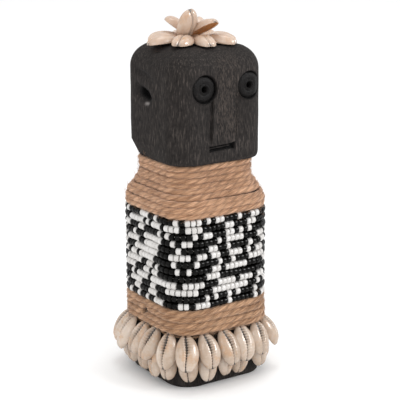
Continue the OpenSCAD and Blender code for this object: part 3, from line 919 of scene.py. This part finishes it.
# %% The thirteen strings
BEAD_ROWS = 13
bead_shape = bead_faces()
random = np.random.default_rng(57)
for row in range(1, BEAD_ROWS + 1):
    for tint, glass in GLASS.items():
        node = f"bead_row_{row:02d}_{tint}"
        points, faces, tints = [], [], []
        for solid in solids_of(node):
            middle = (solid.min(0) + solid.max(0)) / 2
            outward = outward_at(middle)
            thread = np.cross((0, 0, 1), outward)
            lean = random.normal(0, 0.05)
            thread = unit(thread + lean * UP + random.normal(0, 0.04) * outward)
            outward = unit(outward - thread * (outward @ thread))
            sway = clouds([[middle[0], middle[1], row * 9]], 11, 71)[0]
            middle = middle + UP * (0.32 * sway + random.normal(0, 0.06))
            middle = middle + outward * random.normal(0.02, 0.07)
            faces.append(bead_shape + len(points) * len(bead_profile()) * BEAD_ROUND)
            points.append(bead_mesh(middle, thread, outward, 2.95 * random.normal(1, 0.045),
                                    2.02 * random.normal(1, 0.025)))
            tints.append(np.full(len(points[-1]), random.uniform()))
        piece = make_piece(f"beads_{row:02d}_{tint}", np.concatenate(points), np.concatenate(faces), glass,
                           {"tint": np.concatenate(tints)})
        place_piece(piece, f"{tint}_beads", node)

# %% [markdown]
# ## Cowries
# A money cowrie is an egg-shaped shell whose mouth is a long toothed slit. For sewing and glueing, the
# domed back is ground off, so that only the lips are left: two plump, glossy halves like a coffee bean,
# hollow behind. One closed sheet can make it. Each cross-section starts in the slit, curls over the
# lip, goes round the side to the ground rim and turns back inside. The teeth are small ridges that
# cross the lips, and they bite into the slit where it is widest, at the narrow end.

# %% The shell's outline
SHELL_ROWS = 76
LIP_STEPS = 26
INNER_STEPS = 9


def shell_width(along, blunt):
    """Half width as a share of the widest, from the narrow end at 0 to the broad end at 1."""
    return np.maximum(np.sin(math.pi * along ** 1.13), 0) ** (0.5 - 0.1 * blunt)


def lip_half(side, half, front, slit_y, slit, teeth):
    """One lip and the hollow behind it: across and height of its points, and its three marks."""
    lip = np.linspace(0, 1, LIP_STEPS)[None, :] ** 1.25
    edge = np.minimum(np.maximum(slit - 0.4 * teeth, 0.1), 0.45 * half)
    spread = edge + (half - edge) * np.sin(lip * math.pi / 2)
    near = spread - edge
    height = front * np.cos(lip * math.pi / 2) ** 0.92
    height -= 1.1 * np.exp(-near / 0.45) * np.minimum(front / 3, 1)
    height -= 0.9 * np.exp(-near / 1.4) * np.minimum(front / 4, 1)
    ridge = np.exp(-near / 1.5) * ramp(near, 0.02, 0.25)
    height += 0.28 * teeth * ridge
    across = slit_y * np.exp(-near / 3.5) + side * spread
    inner = np.linspace(0.93, 0.0, INNER_STEPS)[None, :]
    hollow = 0.32 * front * np.cos(inner * math.pi / 2) ** 0.7
    wall = side * np.maximum(half - 1.15, 0.3 * half) * np.sin(inner * math.pi / 2)
    # Painted shade: the slit's edge is darkened, and its floor below is painted fully dark.
    dark = 0.86 * np.exp(-near / 0.2)
    # Painted shade in the hollows between the teeth.
    between = (1 - teeth) * np.exp(-near / 1.1) * ramp(slit, 0.3, 0.6)
    blank = np.zeros_like(hollow)
    return (np.concatenate([across, wall], axis=1), np.concatenate([np.maximum(height, 0), hollow], axis=1),
            np.concatenate([dark, blank], axis=1), np.concatenate([between, blank], axis=1),
            np.concatenate([np.zeros_like(height), blank + 1], axis=1))


def cowrie(length, width, depth, blunt, gape, random):
    """A cut cowrie with its narrow end at the origin, along Z, with its mouth facing X."""
    along = 0.5 - 0.5 * np.cos(math.pi * np.linspace(0.012, 0.988, SHELL_ROWS))
    along = 0.35 * along + 0.65 * np.linspace(0.006, 0.994, SHELL_ROWS)
    half = (width / 2 * shell_width(along, blunt))[:, None]
    front = (depth * shell_width(along, blunt) ** 0.9)[:, None]
    bend = random.uniform(-0.5, 0.5)
    wave = 0.35 * np.sin(2.4 * math.pi * along + random.uniform(0, 6))
    slit_y = (0.6 + wave + bend * (along - 0.5))[:, None]
    opened = gape * random.uniform(0.6, 1.1)
    slit = 0.16 + 0.14 * gape + 0.75 * opened * np.exp(-((along - 0.26) / 0.26) ** 2)
    slit = slit + 0.35 * ramp(along, 0.93, 1.0)
    slit = (slit * ramp(along, 0.0, 0.06))[:, None]
    teeth = 0.5 + 0.5 * np.cos(2 * math.pi * 14 * along + random.uniform(0, 6))
    teeth = (teeth * ramp(along, 0.04, 0.12) * (1 - ramp(along, 0.84, 0.95)))[:, None]
    left = lip_half(-1, half, front, slit_y, slit, teeth)
    right = lip_half(1, half, front, slit_y, slit, 0.7 * teeth)
    # The slit's floor: its first mark, the painted shade of the slit, is full.
    floor = (slit_y, 0.42 * front, np.ones_like(front), np.zeros_like(front), np.zeros_like(front))
    across, out, dark, between, inside = (
        np.concatenate([middle + 0 * half, one, other[:, ::-1]], axis=1)
        for middle, one, other in zip(floor, right, left))
    up = np.broadcast_to((along * length)[:, None], across.shape)
    points = np.stack([out, across, up], axis=-1).reshape(-1, 3)
    marks = {"slit": dark.ravel(), "between": between.ravel(), "inside": inside.ravel()}
    return points, marks, across.shape[1]

# %% [markdown]
# The frame gives each shell's ends, its width and which way its mouth looks: the mouth side is where
# all of the solid lies, because the back is ground off along the line between the ends. A shell
# glued by hand never sits quite like its neighbour, so each one is tipped and rolled a few degrees
# about its glued end and varies a little in size.

# %% Shells where the frame has them
def shell_place(solid):
    """Narrow end, directions out, across and along, and the size of a CAD shell."""
    gaps = np.linalg.norm(solid[:, None, :] - solid[None, :, :], axis=-1)
    first, second = np.unravel_index(gaps.argmax(), gaps.shape)
    ends = [solid[first], solid[second]]
    length = gaps.max()
    along = unit(ends[1] - ends[0])
    place = (solid - ends[0]) @ along / length
    spread = np.linalg.norm(solid - ends[0] - np.outer((solid - ends[0]) @ along, along), axis=1)
    if spread[(place > 0.05) & (place < 0.25)].max() > spread[(place > 0.75) & (place < 0.95)].max():
        ends.reverse()
        along = -along
    out = (solid - ends[0]).mean(0)
    out = unit(out - along * (out @ along))
    across = np.cross(along, out)
    side = (solid - ends[0]) @ across
    depth = ((solid - ends[0]) @ out).max()
    return ends[0], out, across, along, length, side.max() - side.min(), depth


def turn_about(vector, axis, angle):
    return np.array(Matrix.Rotation(angle, 3, Vector(axis)) @ Vector(vector))


def make_shells(name, node, slot, material, seed, tip, roll, grow=1.0, blunt=0.6, gape=1.0):
    """All the shells of one CAD node as one piece. tip and roll are in degrees, and gape opens the slit."""
    random = np.random.default_rng(seed)
    points, faces, marks = [], [], []
    for solid in solids_of(node):
        origin, out, across, along, length, width, depth = shell_place(solid)
        size = random.normal(1, 0.025)
        local, own_marks, count = cowrie(length * size * grow, width * size * grow, depth * 1.02,
                                         blunt, gape, random)
        origin = origin - along * length * (grow - 1) / 2
        swing, lean = np.radians(random.normal(0, (tip, tip * 0.5)))
        twist = math.radians(random.normal(0, roll))
        out, across = turn_about(out, along, twist), turn_about(across, along, twist)
        along, across = turn_about(along, out, swing), turn_about(across, out, swing)
        along, out = turn_about(along, across, lean), turn_about(out, across, lean)
        start = len(points) * len(local)
        points.append(origin + local @ np.stack([out, across, along]))
        faces += [[corner + start for corner in face]
                  for face in close_ends(grid_faces(SHELL_ROWS, count), SHELL_ROWS, count)]
        own_marks["tint"] = np.full(len(local), random.uniform())
        own_marks["shell"] = (local + random.uniform(0, 400, 3)) * 0.1
        marks.append(own_marks)
    joined = {key: np.concatenate([own_marks[key] for own_marks in marks]) for key in marks[0]}
    place_piece(make_piece(name, np.concatenate(points), faces, material, joined), slot, node)


# %% [markdown]
# Cowrie enamel is thick and glossy: cream and flesh pink with straw-coloured blushes, faint lines
# across it where it grew, and whiter teeth. Every shell carries its own coordinates, shifted at random,
# so no two have the same blush. The inside is matt and stained orange. The slit is painted nearly black
# and the hollows between the teeth dark brown, as painted shade.

# %% Cowrie enamel
def cowrie_material(name, light, warm, blush, gloss):
    material, tree, shader = new_material(name)
    own = mark(tree, "shell", vector=True)
    growth = use_group(tree, FINE_LINES, Vector=own, Stretch=(0.6, 0.5, 6.0), Scale=3.2, Contrast=1.8)
    patches = use_group(tree, MOTTLE, Vector=own, Scale=1.15, Contrast=3.2)
    broad = use_group(tree, MOTTLE, Vector=own, Scale=0.6, Contrast=2.6)
    colour = blend_colours(tree, remap(tree, broad, 0.25, 0.75), light, warm)
    colour = blend_colours(tree, times(tree, remap(tree, patches, 0.56, 0.95), 0.75), colour, blush)
    colour = lay_over(tree, colour, growth, 0.22, warm)
    tint = remap(tree, mark(tree, "tint"), 0, 1, 0.0, 0.35)
    colour = blend_colours(tree, tint, colour, warm)
    slit = mark(tree, "slit")
    lip = times(tree, remap(tree, slit, 0.0, 0.3), 0.45)
    colour = blend_colours(tree, lip, colour, (0.74, 0.66, 0.58))
    # Painted shade: the hollows between the teeth are darkened.
    colour = lay_over(tree, colour, mark(tree, "between"), 0.75, (0.13, 0.075, 0.045))
    colour = blend_colours(tree, mark(tree, "inside"), colour, (0.46, 0.20, 0.065))
    # Painted shade: the slit is coloured nearly black.
    colour = blend_colours(tree, remap(tree, slit, 0.7, 0.95), colour, (0.012, 0.006, 0.004))
    link(tree, colour, shader.inputs["Base Color"])
    link(tree, plus(tree, remap(tree, patches, 0, 1, gloss, gloss + 0.14),
                     times(tree, mark(tree, "inside"), 0.35)), shader.inputs["Roughness"])
    set_socket(shader, "IOR", 1.55)
    set_socket(shader, "Subsurface Weight", 0.08)
    set_socket(shader, "Subsurface Radius", (0.002, 0.0012, 0.0008))
    bump(tree, shader, growth, 0.00012, 0.35)
    return material


SKIRT_SHELL = cowrie_material("skirt cowrie", (0.62, 0.52, 0.435), (0.42, 0.315, 0.235),
                              (0.50, 0.28, 0.14), 0.14)
CROWN_SHELL = cowrie_material("crown cowrie", (0.63, 0.50, 0.40), (0.46, 0.32, 0.235),
                              (0.52, 0.29, 0.14), 0.15)

# %% The skirt
SIDES = ("left", "back", "right", "front")
for number, side in enumerate(SIDES):
    make_shells(f"upper_cowries_{side}", f"upper_skirt_shells_{side}", "skirt_shell", SKIRT_SHELL,
                seed=101 + number, tip=4.5, roll=11, grow=1.11)
    make_shells(f"lower_cowries_{side}", f"lower_skirt_shells_{side}", "skirt_shell", SKIRT_SHELL,
                seed=111 + number, tip=4, roll=10, grow=1.05)

# %% The crown
for number in range(1, 9):
    make_shells(f"petal_cowrie_{number}", f"crown_petal_{number}", "crown_shell", CROWN_SHELL,
                seed=120 + number, tip=3, roll=4, grow=1.02, blunt=1.8, gape=0.25)
for number in range(1, 5):
    make_shells(f"upright_cowrie_{number}", f"crown_upright_{number}", "crown_shell", CROWN_SHELL,
                seed=130 + number, tip=1.5, roll=4, grow=1.03, blunt=1.4, gape=0.5)

# %% [markdown]
# ## Thread and glue
# These are nearly hidden: cotton thread shows only where two beads part, and dried glue only from
# below or behind. Their CAD shapes are right as they are, so they only need a finish.

# %% Thread and glue finishes
def thread_material():
    material, tree, shader = new_material("cotton thread")
    place = object_place(tree)
    twist = use_group(tree, FINE_LINES, Vector=place, Stretch=(1, 1, 2.5), Scale=900.0, Contrast=2.0)
    colour = blend_colours(tree, twist, (0.42, 0.40, 0.35), (0.66, 0.63, 0.56))
    link(tree, colour, shader.inputs["Base Color"])
    link(tree, remap(tree, twist, 0, 1, 0.8, 0.95), shader.inputs["Roughness"])
    bump(tree, shader, twist, 0.0001)
    return material


def glue_material(name, dark, light):
    material, tree, shader = new_material(name)
    lumps = use_group(tree, MOTTLE, Vector=object_place(tree), Scale=180.0, Contrast=2.0)
    link(tree, blend_colours(tree, lumps, dark, light), shader.inputs["Base Color"])
    link(tree, remap(tree, lumps, 0, 1, 0.3, 0.6), shader.inputs["Roughness"])
    bump(tree, shader, lumps, 0.0006)
    return material


def finish_node(node, material):
    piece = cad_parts[node]
    piece.data.materials.clear()
    piece.data.materials.append(material)
    print(node, "has", material.name)


finish_node("bead_threads", thread_material())
SKIRT_GLUE = glue_material("dried glue", (0.10, 0.055, 0.03), (0.30, 0.17, 0.08))
for node in ("upper_skirt_glue", "lower_skirt_glue"):
    finish_node(node, SKIRT_GLUE)

# %% [markdown]
# The crown's shells stand in a heap of amber glue that was pressed up between their ends. A dome of
# rings, pushed in and out by the clouds, makes the heap: broad and low at its edge, so that it meets
# the wood, and lumpy on top.

# %% The crown's glue
HEAP_RINGS = 14
HEAP_ROUND = 40
HEAP_WIDE = 9.5
HEAP_HIGH = 4.6


def glue_heap():
    ring = np.linspace(0.04, 1, HEAP_RINGS)[::-1, None]
    turn = np.linspace(0, 2 * math.pi, HEAP_ROUND, endpoint=False)[None, :]
    sole = np.stack([0.7 * HEAP_WIDE * np.cos(turn), 0.7 * HEAP_WIDE * np.sin(turn),
                     HEAD_TOP - 0.6 + 0 * turn], axis=-1)
    dome = np.stack([HEAP_WIDE * ring * np.cos(turn), HEAP_WIDE * ring * np.sin(turn),
                     HEAD_TOP - 0.4 + HEAP_HIGH * np.sqrt(1 - 0.98 * ring ** 2) + 0 * turn], axis=-1)
    points = np.concatenate([sole, dome]).reshape(-1, 3)
    lump = 1 + 0.13 * clouds(points, 3.2, 91)
    points[:, :2] *= lump[:, None]
    points[HEAP_ROUND:, 2] += 0.5 * clouds(points[HEAP_ROUND:], 2.6, 92)
    return points


heap = make_piece("crown_glue_heap", glue_heap(),
                  close_ends(grid_faces(HEAP_RINGS + 1, HEAP_ROUND), HEAP_RINGS + 1, HEAP_ROUND),
                  glue_material("amber glue", (0.30, 0.19, 0.12), (0.55, 0.38, 0.26)))
place_piece(heap, "glue", "crown_glue")
